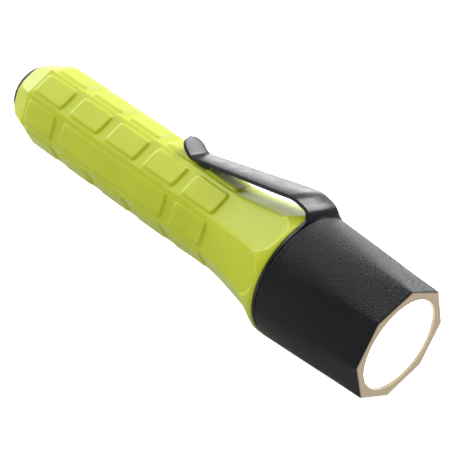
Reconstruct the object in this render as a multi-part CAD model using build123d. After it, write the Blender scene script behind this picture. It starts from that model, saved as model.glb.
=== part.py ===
from build123d import *
import math
import os

# Polymer hand lamp for fire crews: two lithium cells, a xenon lamp module, a screw-off head,
# a spring-steel belt clip and a press switch in the tail.
# Frame, in millimetres: +X is the beam, +Z is towards the clip, and the origin is the centre of
# the bezel opening at the front face. Every x below is a distance behind that face, so negative.

# ---- Lengths along the beam axis ----
BEZEL_FRONT = 0.0
HEAD_REAR = -32.3
CLIP_RING_FRONT = -32.55
CLIP_RING_REAR = -33.4
COLLAR_FRONT = -33.5
COLLAR_REAR = -35.0
NECK_FRONT = -14.0
GRIP_FRONT = -57.5
GRIP_REAR = -130.5
TAIL_RIM = -136.65
BOOT_END = -139.0

# ---- Barrel ----
SIDES = 8
SIDE_ANGLE = 360 / SIDES
BARREL_CLOCK = 22.5
FLAT_APOTHEM = 11.3
CORNER_R = 12.2
TAIL_RIM_R = 9.6
TAIL_FLAT_R = 9.4
TAIL_HOLE_R = 8.15
TAIL_LIP = 1.0
COLLAR_R = 17.35
COLLAR_CHAMFER = 0.8
SCOOP_END = -34.3
SCOOP_NOSE_R = 6.0
STRAIGHT_FLAT_END = -50.0
OUTSIDE = 22.0
CELL_BORE_R = 8.75
NECK_BORE_R = 11.9
NECK_BORE_REAR = -40.0
NECK_R = 14.75
SEAL_GROOVE_HALF = 0.95
RELIEF = 0.9

# ---- Raised grip pads, five to a row ----
PAD_ROWS = 8
PADS_IN_ROW = 5
PAD_PITCH = 14.94
PAD_LENGTH = 12.0
PAD_WIDTH = 7.3
PAD_TOP = 11.87
PAD_BEVEL = 42
FIRST_PAD_X = -123.5
PANEL_ROW = 2

# ---- Head thread, right hand ----
THREAD_PITCH = 2.0
MALE_ROOT_R = 13.85
MALE_CREST_R = 14.65
FEMALE_ROOT_R = 14.85
FEMALE_CREST_R = 14.05
RIDGE_BASE_HALF = 0.6
RIDGE_TIP_HALF = 0.25
RIDGE_SINK = 0.3
MALE_THREAD_REAR = -26.6
MALE_THREAD_START = -26.4
MALE_THREAD_LENGTH = 11.0
FEMALE_THREAD_LENGTH = 10.0

# ---- Head ----
HEAD_CLOCK = 12.4
HEAD_FACE_APOTHEM = 14.75
HEAD_FACE_R = 15.8
HEAD_REAR_R = 17.35
HEAD_REAR_CHAMFER = 0.3
HEAD_FACET_SLOPE = 0.112
HEAD_EDGE = 0.5
OPENING_R = 12.67
BEZEL_LIP = 1.3
LENS_SEAT_R = 13.5
LENS_R = 13.4
LENS_BOSS_R = 12.2
LENS_FRONT = -1.45
LENS_SHOULDER = -2.0
LENS_REAR = -3.6
HEAD_CAVITY_R = 14.0
HEAD_SEAL_R = 15.0
HEAD_SEAL_FRONT = -26.8
HEAD_THREAD_FRONT = -13.5
LENS_SEAT_REAR = -6.0

# ---- Body seal ring ----
BODY_RING_X = -29.6
BODY_RING_WIRE_R = 0.75
BODY_RING_R = 14.17

# ---- Lamp module, which slides with the head ----
MODULE_GAP = 0.1
REFLECTOR_VERTEX = -22.5
REFLECTOR_MOUTH_R = 12.4
REFLECTOR_WALL = 0.8
REFLECTOR_RIM_R = 13.3
REFLECTOR_RIM = 1.2
BOSS_R = 7.4
BOSS_REAR = -24.4
LAMP_HOLE_R = 2.8
LAMP_R = 2.5
LAMP_WALL = 0.35
LAMP_TIP = -16.4
LAMP_PINCH = -22.6
LAMP_BASE = -26.0
PIN_R = 0.35
PIN_SPACING = 1.3
PIN_REAR = -31.0
FILAMENT_X = -20.4
CUP_FLANGE_R = 11.3
CUP_R = 8.2
CUP_WALL = 0.6
CUP_REAR = -36.0
SOCKET_REAR = -35.0
CENTRE_STUD_R = 3.0
CENTRE_STUD_REAR = -38.0

# ---- Cells: two of the 17 mm by 34.5 mm lithium size ----
CELL_LENGTH = 34.5
CELL_FRONT = -46.0
CAN_R = 8.2
SLEEVE_R = 8.45
CAP_R = 3.3
CAP_HEIGHT = 1.6
SEAL_R = 5.2
SEAL_HEIGHT = 0.7

# ---- Tail switch ----
SWITCH_TRAVEL = 1.4
BOOT_R = 8.05
BOOT_WALL = 1.05
BOOT_ROOF = 1.2
BOOT_EDGE = 0.3
BOOT_FLANGE_R = 8.65
BOOT_FLANGE = 1.0
HOUSING_R = 8.6
HOUSING_FRONT = -120.0
HOUSING_WALL = 1.2
HOUSING_CAVITY_R = 7.3
PLUNGER_R = 5.0
PLUNGER_FLANGE_R = 6.8
PLUNGER_FLANGE = 1.0
PLUNGER_NOSE_R = 2.4
PLUNGER_NOSE_FRONT = -128.6
CONTACT_R = 3.6
CONTACT_THICK = 0.5
FIXED_CONTACT_R = 6.6
FIXED_CONTACT_THICK = 0.8
RIVET_R = 1.8
RIVET_HEAD_R = 4.6
RIVET_HEAD = 0.6
STRIP_WIDTH = 4.0
STRIP_THICK = 0.3
STRIP_R = 8.8
STRIP_REAR = -134.0
STRIP_FRONT = -40.2
STRIP_GAP = 0.05

# ---- Coil springs, lamp filament and small fits ----
COIL_WIRE_R = 0.3
COIL_SEAT = 0.35
RETURN_SPRING_R = 5.4
TAIL_SPRING_WIRE_R = 0.35
TAIL_SPRING_R = (4.8, 3.2)
CENTRE_SPRING_R = (4.2, 2.4)
FILAMENT_COIL_R = 0.28
FILAMENT_PITCH = 0.5
FILAMENT_WIRE_R = 0.09
PIN_TO_FILAMENT = 0.6
CUP_FLANGE_THICK = 1.0
STUD_HEAD = 0.8
SLEEVE_LIP = 0.3
FIT_GAP = 0.15
SMALL_GAP = 0.05
OVERLAP = 0.5

# ---- Places that follow from the sizes above ----
BOOT_FLANGE_REAR = TAIL_RIM + TAIL_LIP
HOUSING_REAR = BOOT_FLANGE_REAR + BOOT_FLANGE
PLUNGER_REAR = BOOT_END + BOOT_ROOF + 0.1
PLUNGER_FLANGE_REAR = HOUSING_REAR + HOUSING_WALL + 0.1
PLUNGER_FLANGE_FRONT = PLUNGER_FLANGE_REAR + PLUNGER_FLANGE
FIXED_CONTACT_REAR = PLUNGER_NOSE_FRONT + CONTACT_THICK + SWITCH_TRAVEL + 0.1
FIXED_CONTACT_FRONT = FIXED_CONTACT_REAR + FIXED_CONTACT_THICK
REAR_CELL_REAR = CELL_FRONT - 2 * CELL_LENGTH

# ---- Belt clip: its route is its middle line in the upright plane, from tip to pivot ----
CLIP_THICK = 0.85
CLIP_TIP_HALF = 3.6
CLIP_BEND_HALF = 5.4
CLIP_FOOT_HALF = 7.6
CLIP_TIP_X = -80.7
CLIP_WIDEST_X = -44.0
CLIP_RING_R = 17.2
CLIP_RING_BORE_R = 14.85
CLIP_FOOT_BOTTOM = 15.0
CLIP_PIVOT = ((CLIP_RING_FRONT + CLIP_RING_REAR) / 2, 15.9)
CLIP_KNUCKLE_GAP = 0.06
CLIP_ROUTE = (
    (-80.3, 15.3), (-75.4, 12.06), (-39.0, 19.8), (CLIP_PIVOT[0], 19.27), CLIP_PIVOT,
)
CLIP_BENDS = (4.0, 18.0, 3.3)
CLIP_FLARE = ((19.0, CLIP_BEND_HALF), (18.2, 5.6), (17.1, 6.3), (CLIP_PIVOT[1], CLIP_FOOT_HALF))

BEAM = Axis.X


def section(x):
    """The plane across the lamp at x: its own x is +Y and its own y is +Z."""
    return Plane(origin=(x, 0, 0), x_dir=(0, 1, 0), z_dir=(1, 0, 0))


def rod(x_rear, x_front, radius):
    """A round bar on the beam axis."""
    return extrude(section(x_rear) * Circle(radius), x_front - x_rear)


def tube(x_rear, x_front, radius, bore):
    """A round tube on the beam axis."""
    return rod(x_rear, x_front, radius) - rod(x_rear, x_front, bore)


def turned(outline):
    """A turned solid: a closed outline of edges in the half-plane y = 0, z > 0."""
    return revolve(make_face(outline), BEAM)


def at_xz(points):
    """Points of the upright plane y = 0."""
    return [(x, 0, z) for x, z in points]


def around(solid, count, step):
    """Copies of a solid, turned about the beam axis."""
    return [solid.rotate(BEAM, step * k) for k in range(count)]


def coil(x_start, x_end, radius, end_radius, wire_r, turns):
    """A coil spring on the beam axis, straight or coned, of round wire."""
    height = abs(x_end - x_start)
    direction = (math.copysign(1, x_end - x_start), 0, 0)
    slope = math.degrees(math.atan2(end_radius - radius, height))
    path = Helix(height / turns, height, radius, (x_start, 0, 0), direction, slope)
    start = Plane(origin=path @ 0, z_dir=path % 0)
    return sweep(start * Circle(wire_r), path=path, is_frenet=True)


def thread_ridge(base_r, tip_r, x_start, length):
    """A right-hand ridge of trapezoid section; its base is sunk into the wall it grows from."""
    path = Helix(THREAD_PITCH, length, base_r, (x_start, 0, 0), (1, 0, 0))
    start = path @ 0
    outwards = Vector(0, start.Y, start.Z).normalized()
    reach = tip_r - base_r
    sink = -math.copysign(RIDGE_SINK, reach)
    outline = (
        (sink, -RIDGE_BASE_HALF),
        (reach, -RIDGE_TIP_HALF),
        (reach, RIDGE_TIP_HALF),
        (sink, RIDGE_BASE_HALF),
    )
    across = Plane(origin=start, x_dir=outwards, z_dir=path % 0)
    return sweep(across * Polygon(*outline, align=None), path=path, is_frenet=True)


# ---- Barrel -----------------------------------------------------------------------------------

def barrel_blank():
    """The outside at the corners of the octagon, turned: tail, grip and flare up to the collar."""
    tail = Spline(
        *at_xz([(TAIL_RIM, TAIL_RIM_R), (-134, 11.1), (GRIP_REAR, CORNER_R)]),
        tangents=((0.9, 0, 1), (1, 0, 0.1)),
    )
    grip = Line(*at_xz([(GRIP_REAR, CORNER_R), (GRIP_FRONT, CORNER_R)]))
    flare = Spline(
        *at_xz([(GRIP_FRONT, CORNER_R), (-54, 12.6), (-50, 13.45), (-46, 14.3), (-42, 15.25),
                (-38, 16.5), (COLLAR_REAR, COLLAR_R)]),
        tangents=((1, 0, 0), (1, 0, 0.1)),
    )
    rest = Polyline(*at_xz([
        (COLLAR_REAR, COLLAR_R), (COLLAR_FRONT - COLLAR_CHAMFER, COLLAR_R),
        (COLLAR_FRONT, COLLAR_R - COLLAR_CHAMFER), (COLLAR_FRONT, 0), (TAIL_RIM, 0),
        (TAIL_RIM, TAIL_RIM_R),
    ]))
    return turned([tail, grip, flare, rest])


def flat_cutter():
    """What one flat takes off the blank: down to the flat's height, with a round front end."""
    rear_x = TAIL_RIM - 1
    rear_z = TAIL_FLAT_R - (FLAT_APOTHEM - TAIL_FLAT_R) / (GRIP_REAR - TAIL_RIM)
    tail = Line(*at_xz([(rear_x, rear_z), (GRIP_REAR, FLAT_APOTHEM)]))
    flat = Line(*at_xz([(GRIP_REAR, FLAT_APOTHEM), (GRIP_FRONT, FLAT_APOTHEM)]))
    scoop_top = COLLAR_R + 0.1
    scoop = Spline(
        *at_xz([(GRIP_FRONT, FLAT_APOTHEM), (-51.5, 12.2), (-47.6, 13.0), (-43, 13.9), (-39, 15),
                (SCOOP_END, scoop_top)]),
        tangents=((1, 0, 0), (1, 0, 0.9)),
    )
    top = Polyline(*at_xz([
        (SCOOP_END, scoop_top), (SCOOP_END, OUTSIDE), (rear_x, OUTSIDE), (rear_x, rear_z),
    ]))
    half = SCOOP_NOSE_R + 2
    side = extrude(make_face([tail, flat, scoop, top]), half, both=True)
    plan = Rectangle(100, 2 * half, align=(Align.MAX, Align.CENTER))
    plan = plan.moved(Location((STRAIGHT_FLAT_END, 0)))
    nose_x = SCOOP_END - SCOOP_NOSE_R
    bridge = Polygon(
        (STRAIGHT_FLAT_END, -half), (nose_x, -SCOOP_NOSE_R), (nose_x, SCOOP_NOSE_R),
        (STRAIGHT_FLAT_END, half), align=None,
    )
    return side & extrude(plan + Pos(nose_x) * Circle(SCOOP_NOSE_R) + bridge, OUTSIDE)


def pad(x, length):
    """One raised grip pad on the top flat, with bevelled edges."""
    foot = FLAT_APOTHEM - 0.1
    base = Plane(origin=(x, 0, foot)) * Rectangle(length, PAD_WIDTH)
    return extrude(base, PAD_TOP - foot, taper=PAD_BEVEL)


def grip_pads():
    """All the pads; one row has its three middle pads joined as a plain label panel."""
    row = [pad(FIRST_PAD_X + PAD_PITCH * k, PAD_LENGTH) for k in range(PADS_IN_ROW)]
    panel = pad(FIRST_PAD_X + PAD_PITCH * 2, PAD_LENGTH + PAD_PITCH * 2)
    panel_row = [row[0], panel, row[-1]]
    rows = [panel_row if k == PANEL_ROW else row for k in range(PAD_ROWS)]
    return [p.rotate(BEAM, SIDE_ANGLE * k) for k, found in enumerate(rows) for p in found]


def barrel():
    """One moulding: tail, octagonal grip, flared collar and threaded neck, bored from the front."""
    body = barrel_blank() - around(flat_cutter(), SIDES, SIDE_ANGLE)
    body = body + grip_pads()
    body += rod(COLLAR_FRONT - 1, MALE_THREAD_REAR - RELIEF, NECK_R)
    body += rod(MALE_THREAD_REAR - RELIEF, NECK_FRONT, MALE_ROOT_R)
    body += thread_ridge(MALE_ROOT_R, MALE_CREST_R, MALE_THREAD_START, MALE_THREAD_LENGTH)
    groove_rear = BODY_RING_X - SEAL_GROOVE_HALF
    groove_front = BODY_RING_X + SEAL_GROOVE_HALF
    body -= tube(groove_rear, groove_front, NECK_R + 1, BODY_RING_R - BODY_RING_WIRE_R)
    body -= rod(TAIL_RIM + TAIL_LIP, NECK_BORE_REAR, CELL_BORE_R)
    body -= rod(TAIL_RIM - 1, TAIL_RIM + TAIL_LIP + 1, TAIL_HOLE_R)
    body -= rod(NECK_BORE_REAR, NECK_FRONT + 1, NECK_BORE_R)
    slot_floor = -(STRIP_R + STRIP_THICK + STRIP_GAP)
    slot_height = STRIP_THICK + 2
    slot = Box(STRIP_FRONT - STRIP_REAR + 4 * STRIP_GAP, STRIP_WIDTH + 4 * STRIP_GAP, slot_height)
    body -= Pos((STRIP_FRONT + STRIP_REAR) / 2, 0, slot_floor + slot_height / 2) * slot
    return body


def ground_strip():
    """The brass strip in the bore's floor that carries the current back past the cells."""
    bar = Box(STRIP_FRONT - STRIP_REAR, STRIP_WIDTH, STRIP_THICK)
    return Pos((STRIP_FRONT + STRIP_REAR) / 2, 0, -STRIP_R - STRIP_THICK / 2) * bar


def ring(x, radius, wire_r):
    """A round rubber ring about the beam axis."""
    return Pos(x, 0, 0) * Rot(0, 90, 0) * Torus(radius, wire_r)


# ---- Head -------------------------------------------------------------------------------------

def facet_cutter():
    """What one flat takes off the turned head: a slight taper, and a bevel round the face."""
    rear_x = HEAD_REAR - 1
    outline = Polyline(*at_xz([
        (BEZEL_FRONT + 1, HEAD_FACE_APOTHEM - HEAD_EDGE - 1),
        (BEZEL_FRONT - HEAD_EDGE, HEAD_FACE_APOTHEM),
        (rear_x, HEAD_FACE_APOTHEM - rear_x * HEAD_FACET_SLOPE),
        (rear_x, 25),
        (BEZEL_FRONT + 1, 25),
        (BEZEL_FRONT + 1, HEAD_FACE_APOTHEM - HEAD_EDGE - 1),
    ]))
    corner_to_top = HEAD_CLOCK + SIDE_ANGLE / 2 - 90
    return extrude(make_face(outline), 15, both=True).rotate(BEAM, corner_to_top)


def head_cavity():
    """The inside of the head, from the bezel opening back to the seal bore."""
    return turned([Polyline(*at_xz([
        (BEZEL_FRONT + 1, 0), (BEZEL_FRONT + 1, OPENING_R), (-BEZEL_LIP, OPENING_R),
        (-BEZEL_LIP, LENS_SEAT_R), (LENS_SEAT_REAR, LENS_SEAT_R), (LENS_SEAT_REAR, HEAD_CAVITY_R),
        (HEAD_THREAD_FRONT, HEAD_CAVITY_R), (HEAD_THREAD_FRONT, FEMALE_ROOT_R),
        (HEAD_SEAL_FRONT, FEMALE_ROOT_R), (HEAD_SEAL_FRONT, HEAD_SEAL_R),
        (HEAD_REAR - 1, HEAD_SEAL_R), (HEAD_REAR - 1, 0), (BEZEL_FRONT + 1, 0),
    ]))])


def head_shell():
    """A moulded cover: round at the rear, eight-sided at the face, threaded inside."""
    outline = Polyline(*at_xz([
        (HEAD_REAR, HEAD_REAR_R - HEAD_REAR_CHAMFER),
        (HEAD_REAR + HEAD_REAR_CHAMFER, HEAD_REAR_R), (BEZEL_FRONT, HEAD_FACE_R),
        (BEZEL_FRONT, 0), (HEAD_REAR, 0), (HEAD_REAR, HEAD_REAR_R - HEAD_REAR_CHAMFER),
    ]))
    start = MALE_THREAD_START + THREAD_PITCH / 2
    ridge = thread_ridge(FEMALE_ROOT_R, FEMALE_CREST_R, start, FEMALE_THREAD_LENGTH)
    shell = turned([outline]) - around(facet_cutter(), SIDES, SIDE_ANGLE)
    return shell - head_cavity() + ridge


def lens():
    """A clear plastic disc; its raised middle fills the seal ring."""
    return rod(LENS_REAR, LENS_SHOULDER, LENS_R) + rod(LENS_SHOULDER, LENS_FRONT, LENS_BOSS_R)


def lens_seal():
    """The flat rubber ring between the lens and the bezel's lip."""
    return tube(LENS_SHOULDER, -BEZEL_LIP, LENS_R, LENS_BOSS_R + SMALL_GAP)


# ---- Lamp module ------------------------------------------------------------------------------

def parabola(offset, count=7):
    """Points along the reflector's curve, moved outwards by offset."""
    mouth = LENS_REAR - MODULE_GAP
    steepness = REFLECTOR_MOUTH_R ** 2 / (mouth - REFLECTOR_VERTEX)
    span = REFLECTOR_MOUTH_R - LAMP_HOLE_R
    radii = [LAMP_HOLE_R + span * k / (count - 1) for k in range(count)]
    return [(REFLECTOR_VERTEX + r * r / steepness, r + offset) for r in radii]


def reflector():
    """The aluminised bowl, with a rim that seats behind the lens and a boss for the lamp."""
    mouth = LENS_REAR - MODULE_GAP
    inner = parabola(0)
    outer = parabola(REFLECTOR_WALL)
    curve = Spline(*at_xz(inner))
    rim = Polyline(
        (mouth, 0, REFLECTOR_MOUTH_R), (mouth, 0, REFLECTOR_RIM_R),
        (mouth - REFLECTOR_RIM, 0, REFLECTOR_RIM_R), (outer[-1][0] - REFLECTOR_RIM, 0, outer[-1][1]),
        at_xz(outer)[-2],
    )
    back = Spline(*at_xz(outer[-2:0:-1]))
    boss = Polyline(
        at_xz(outer)[1], (outer[1][0], 0, BOSS_R), (BOSS_REAR, 0, BOSS_R),
        (BOSS_REAR, 0, LAMP_HOLE_R), at_xz(inner)[0],
    )
    return turned([curve, rim, back, boss])


def lamp_pin_holes():
    """The two pins' place, as solids."""
    bar = rod(PIN_REAR, FILAMENT_X - PIN_TO_FILAMENT, PIN_R)
    return [Pos(0, side * PIN_SPACING, 0) * bar for side in (-1, 1)]


def lamp_glass():
    """The xenon lamp's envelope: a hollow tube with a round tip and a solid pinched base."""
    outside = rod(LAMP_BASE, LAMP_TIP - LAMP_R, LAMP_R) + Pos(LAMP_TIP - LAMP_R, 0, 0) * Sphere(LAMP_R)
    inner_r = LAMP_R - LAMP_WALL
    round_x = LAMP_TIP - LAMP_R
    inside = rod(LAMP_PINCH, round_x, inner_r) + Pos(round_x, 0, 0) * Sphere(inner_r)
    return outside - inside - lamp_pin_holes()


def lamp_filament():
    """The coiled filament across the pins' ends, at the reflector's focus."""
    span = 2 * PIN_SPACING
    start = (FILAMENT_X, -PIN_SPACING, 0)
    path = Helix(FILAMENT_PITCH, span, FILAMENT_COIL_R, start, (0, 1, 0))
    wire = Plane(origin=path @ 0, z_dir=path % 0) * Circle(FILAMENT_WIRE_R)
    return sweep(wire, path=path, is_frenet=True)


def module_cup():
    """The drawn metal cup around the socket; the outer spring pushes on its flange."""
    cup = tube(CUP_REAR, BOSS_REAR - CUP_FLANGE_THICK, CUP_R, CUP_R - CUP_WALL)
    return cup + tube(
        BOSS_REAR - CUP_FLANGE_THICK, BOSS_REAR, CUP_FLANGE_R, CUP_R - CUP_WALL
    )


def lamp_socket():
    """The heat-proof socket that grips the lamp's base and pins."""
    socket = rod(SOCKET_REAR, BOSS_REAR, CUP_R - CUP_WALL)
    socket -= rod(LAMP_BASE, BOSS_REAR, LAMP_R)
    return socket - lamp_pin_holes()


def centre_contact():
    """The brass stud behind the socket that the centre spring sits on."""
    return rod(SOCKET_REAR - STUD_HEAD, SOCKET_REAR, CENTRE_STUD_R + 2) + rod(
        CENTRE_STUD_REAR, SOCKET_REAR - STUD_HEAD, CENTRE_STUD_R - 1
    )


def centre_spring():
    """The coned spring that reaches back to the front cell's cap."""
    start = SOCKET_REAR - STUD_HEAD - COIL_WIRE_R - 0.1
    return coil(start, CELL_FRONT + COIL_SEAT, *CENTRE_SPRING_R, COIL_WIRE_R, 4)


def outer_spring():
    """The straight spring between the barrel's shoulder and the module's flange."""
    return coil(NECK_BORE_REAR + 0.45, BOSS_REAR - 1.45, 10.1, 10.1, 0.4, 5)


# ---- Cells ------------------------------------------------------------------------------------

def cell(front):
    """One lithium cell, as its four pieces: can, sleeve, cap and insulating seal."""
    can_front = front - CAP_HEIGHT
    rear = front - CELL_LENGTH
    can = rod(rear, can_front, CAN_R)
    sleeve = tube(rear + SLEEVE_LIP, can_front, SLEEVE_R, CAN_R)
    seal = tube(can_front, can_front + SEAL_HEIGHT, SEAL_R, CAP_R)
    cap = rod(can_front, front, CAP_R)
    return {"can": can, "sleeve": sleeve, "seal": seal, "cap": cap}


# ---- Tail switch ------------------------------------------------------------------------------

def switch_boot():
    """The rubber boot: a cup that stands out of the tail, and a flange behind the lip."""
    boot = rod(BOOT_END, BOOT_FLANGE_REAR + OVERLAP, BOOT_R)
    boot = chamfer(boot.edges().sort_by(BEAM)[0], BOOT_EDGE)
    boot += rod(BOOT_FLANGE_REAR, HOUSING_REAR, BOOT_FLANGE_R)
    return boot - rod(BOOT_END + BOOT_ROOF, HOUSING_REAR, BOOT_R - BOOT_WALL)


def switch_housing():
    """The cartridge that goes in through the cell bore and holds the switch."""
    housing = rod(HOUSING_REAR, HOUSING_FRONT, HOUSING_R)
    housing -= rod(HOUSING_REAR + HOUSING_WALL, FIXED_CONTACT_FRONT, HOUSING_CAVITY_R)
    housing -= rod(HOUSING_REAR, HOUSING_REAR + HOUSING_WALL, PLUNGER_R + FIT_GAP)
    return housing - rod(FIXED_CONTACT_FRONT, HOUSING_FRONT, RIVET_R)


def switch_plunger():
    """The plastic plunger under the boot, held by its flange inside the housing."""
    plunger = rod(PLUNGER_REAR, PLUNGER_FLANGE_REAR, PLUNGER_R)
    plunger += rod(PLUNGER_FLANGE_REAR, PLUNGER_FLANGE_FRONT, PLUNGER_FLANGE_R)
    return plunger + rod(PLUNGER_FLANGE_FRONT, PLUNGER_NOSE_FRONT, PLUNGER_NOSE_R)


def switch_moving_contact():
    """The brass disc on the plunger's nose."""
    return rod(PLUNGER_NOSE_FRONT, PLUNGER_NOSE_FRONT + CONTACT_THICK, CONTACT_R)


def switch_fixed_contact():
    """The brass plate that the disc lands on, with its rivet through to the tail spring."""
    plate = rod(FIXED_CONTACT_REAR, FIXED_CONTACT_FRONT, FIXED_CONTACT_R)
    plate += rod(FIXED_CONTACT_FRONT, HOUSING_FRONT, RIVET_R)
    return plate + rod(HOUSING_FRONT, HOUSING_FRONT + RIVET_HEAD, RIVET_HEAD_R)


def switch_return_spring():
    """The spring that pushes the plunger back out."""
    front = FIXED_CONTACT_REAR - COIL_SEAT
    radius = RETURN_SPRING_R
    return coil(PLUNGER_FLANGE_FRONT + COIL_SEAT, front, radius, radius, COIL_WIRE_R, 3)


def tail_spring():
    """The coned spring that presses both cells forward."""
    start = HOUSING_FRONT + RIVET_HEAD + TAIL_SPRING_WIRE_R + 0.1
    front = REAR_CELL_REAR - TAIL_SPRING_WIRE_R - 0.1
    return coil(start, front, *TAIL_SPRING_R, TAIL_SPRING_WIRE_R, 2.5)


# ---- Belt clip --------------------------------------------------------------------------------

def knuckle(radius, width):
    """A round bar across the lamp at the clip's pivot."""
    x, z = CLIP_PIVOT
    return Pos(x, 0, z) * Rot(90, 0, 0) * Cylinder(radius, width)


def clip_plan():
    """The strap seen from above: a round tip, then wider and wider up to the bend."""
    tip = CLIP_TIP_X + CLIP_TIP_HALF
    strap = Polygon(
        (tip, -CLIP_TIP_HALF), (CLIP_WIDEST_X, -CLIP_BEND_HALF), (CLIP_WIDEST_X, CLIP_BEND_HALF),
        (tip, CLIP_TIP_HALF), align=None,
    )
    front = Rectangle(20, 2 * CLIP_FOOT_HALF, align=(Align.MIN, Align.CENTER))
    return strap + Pos(tip, 0) * Circle(CLIP_TIP_HALF) + front.moved(Location((CLIP_WIDEST_X, 0)))


def clip_front():
    """The strap seen along the beam: its foot spreads to meet the ring."""
    sides = [(CLIP_BEND_HALF, OUTSIDE), *((half, z) for z, half in CLIP_FLARE), (CLIP_FOOT_HALF, 0)]
    outline = [(-half, z) for half, z in sides] + sides[::-1]
    return section(CLIP_TIP_X - 1) * Polygon(*outline, align=None)


def clip_arm():
    """The sprung arm: a long strap with a turned-up, rounded tip and a bend over the collar."""
    profile = Plane.XZ * trace(FilletPolyline(*CLIP_ROUTE, radius=CLIP_BENDS), CLIP_THICK)
    arm = extrude(profile, CLIP_FOOT_HALF, both=True)
    arm += knuckle(CLIP_THICK / 2, 2 * CLIP_FOOT_HALF)
    return arm & extrude(clip_plan(), OUTSIDE) & extrude(clip_front(), -2 * CLIP_TIP_X)


def clip_ring():
    """The flat ring trapped between collar and head, cut flat where the arm stands on it."""
    x_middle, top = CLIP_PIVOT
    thick = CLIP_RING_FRONT - CLIP_RING_REAR
    above = Box(4 * thick, 4 * CLIP_FOOT_HALF, 10, align=(Align.CENTER, Align.CENTER, Align.MIN))
    foot_height = top - CLIP_FOOT_BOTTOM
    foot = Box(thick, 2 * CLIP_FOOT_HALF, foot_height)
    washer = tube(CLIP_RING_REAR, CLIP_RING_FRONT, CLIP_RING_R, CLIP_RING_BORE_R)
    washer -= Pos(x_middle, 0, top) * above
    washer += Pos(x_middle, 0, top - foot_height / 2) * foot
    return washer - knuckle(CLIP_THICK / 2 + CLIP_KNUCKLE_GAP, 2 * CLIP_FOOT_HALF + 1)


def all_parts():
    """Every sub-part by name."""
    parts = {
        "barrel": barrel(),
        "ground_strip": ground_strip(),
        "body_seal_ring": ring(BODY_RING_X, BODY_RING_R, BODY_RING_WIRE_R),
        "clip_ring": clip_ring(),
        "clip_arm": clip_arm(),
        "head_shell": head_shell(),
        "lens": lens(),
        "lens_seal": lens_seal(),
        "reflector": reflector(),
        "lamp_glass": lamp_glass(),
        "lamp_pins": Compound(lamp_pin_holes()),
        "lamp_filament": lamp_filament(),
        "lamp_socket": lamp_socket(),
        "module_cup": module_cup(),
        "centre_contact": centre_contact(),
        "centre_spring": centre_spring(),
        "outer_spring": outer_spring(),
        "switch_boot": switch_boot(),
        "switch_housing": switch_housing(),
        "switch_plunger": switch_plunger(),
        "switch_moving_contact": switch_moving_contact(),
        "switch_fixed_contact": switch_fixed_contact(),
        "switch_return_spring": switch_return_spring(),
        "tail_spring": tail_spring(),
    }
    for place, front in (("front", CELL_FRONT), ("rear", CELL_FRONT - CELL_LENGTH)):
        for piece, solid in cell(front).items():
            parts[f"{place}_cell_{piece}"] = solid
    return parts


os.makedirs("parts", exist_ok=True)
for name, solid in all_parts().items():
    export_step(solid, f"parts/{name}.step")
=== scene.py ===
import math

import bpy
import numpy as np
from mathutils import Matrix, Vector


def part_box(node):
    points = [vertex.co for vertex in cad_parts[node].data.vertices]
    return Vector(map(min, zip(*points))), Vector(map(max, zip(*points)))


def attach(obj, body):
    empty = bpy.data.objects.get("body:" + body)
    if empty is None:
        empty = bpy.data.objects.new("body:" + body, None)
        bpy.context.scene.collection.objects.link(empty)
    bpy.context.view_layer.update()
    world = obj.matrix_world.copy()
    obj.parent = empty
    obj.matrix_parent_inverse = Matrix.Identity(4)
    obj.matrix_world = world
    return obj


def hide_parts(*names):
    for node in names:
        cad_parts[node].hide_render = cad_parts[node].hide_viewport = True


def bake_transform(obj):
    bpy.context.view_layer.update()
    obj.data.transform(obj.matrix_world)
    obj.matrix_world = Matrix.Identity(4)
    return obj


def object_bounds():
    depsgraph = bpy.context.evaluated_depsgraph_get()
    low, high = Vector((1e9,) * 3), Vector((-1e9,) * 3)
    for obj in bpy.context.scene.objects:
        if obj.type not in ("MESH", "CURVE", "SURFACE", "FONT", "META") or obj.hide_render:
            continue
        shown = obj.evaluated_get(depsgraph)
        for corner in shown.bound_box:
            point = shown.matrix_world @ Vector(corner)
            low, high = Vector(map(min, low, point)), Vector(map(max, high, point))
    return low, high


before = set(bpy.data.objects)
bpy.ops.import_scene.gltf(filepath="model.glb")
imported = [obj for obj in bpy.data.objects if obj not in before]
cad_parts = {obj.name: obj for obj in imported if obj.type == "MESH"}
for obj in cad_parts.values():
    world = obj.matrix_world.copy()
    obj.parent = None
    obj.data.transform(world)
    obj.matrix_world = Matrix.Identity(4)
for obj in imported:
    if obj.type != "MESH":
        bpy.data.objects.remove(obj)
cad_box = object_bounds()

# ---- Barrel -----------------------------------------------------------------------------------
# One moulding in safety yellow-green nylon: a round tail, an eight-sided grip with raised pads,
# a flare that is scooped on each side, a round collar, and a neck with the head's thread.
# It is bored from the front for the cells, and nothing is fastened to it but what screws on.

MM = 0.001
SIDES = 8
HALF_SIDE = math.pi / SIDES

TAIL_RIM = -136.65
TAIL_RIM_R = 9.6
TAIL_FLAT_R = 9.4
TAIL_HOLE_R = 8.15
GRIP_REAR = -130.5
GRIP_FRONT = -57.5
FLAT = 11.3
CORNER_R = 12.2
COLLAR_FRONT = -33.5
COLLAR_R = 17.35
COLLAR_CHAMFER = 0.25
CELL_BORE_R = 8.75
NECK_R = 14.75
NECK_BORE_R = 11.9
NECK_BORE_REAR = -40.0
NECK_FRONT = -14.0
SEAL_GROOVE = (-30.55, -28.65)
SEAL_GROOVE_R = 13.42
STRIP_SLOT_HALF = 2.1
STRIP_SLOT_FLOOR = 9.15

PAD_PITCH = 14.94
FIRST_PAD = -123.5
PADS_IN_ROW = 5
PAD_HALF_LENGTH = 6.1
PAD_HALF_WIDTH = 3.75
PAD_RISE = 0.57
PAD_EDGE = 0.75
PAD_STRAIGHT_SHARE = 0.55
PAD_CORNER = 1.3
PANEL_SIDE = 2

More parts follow.
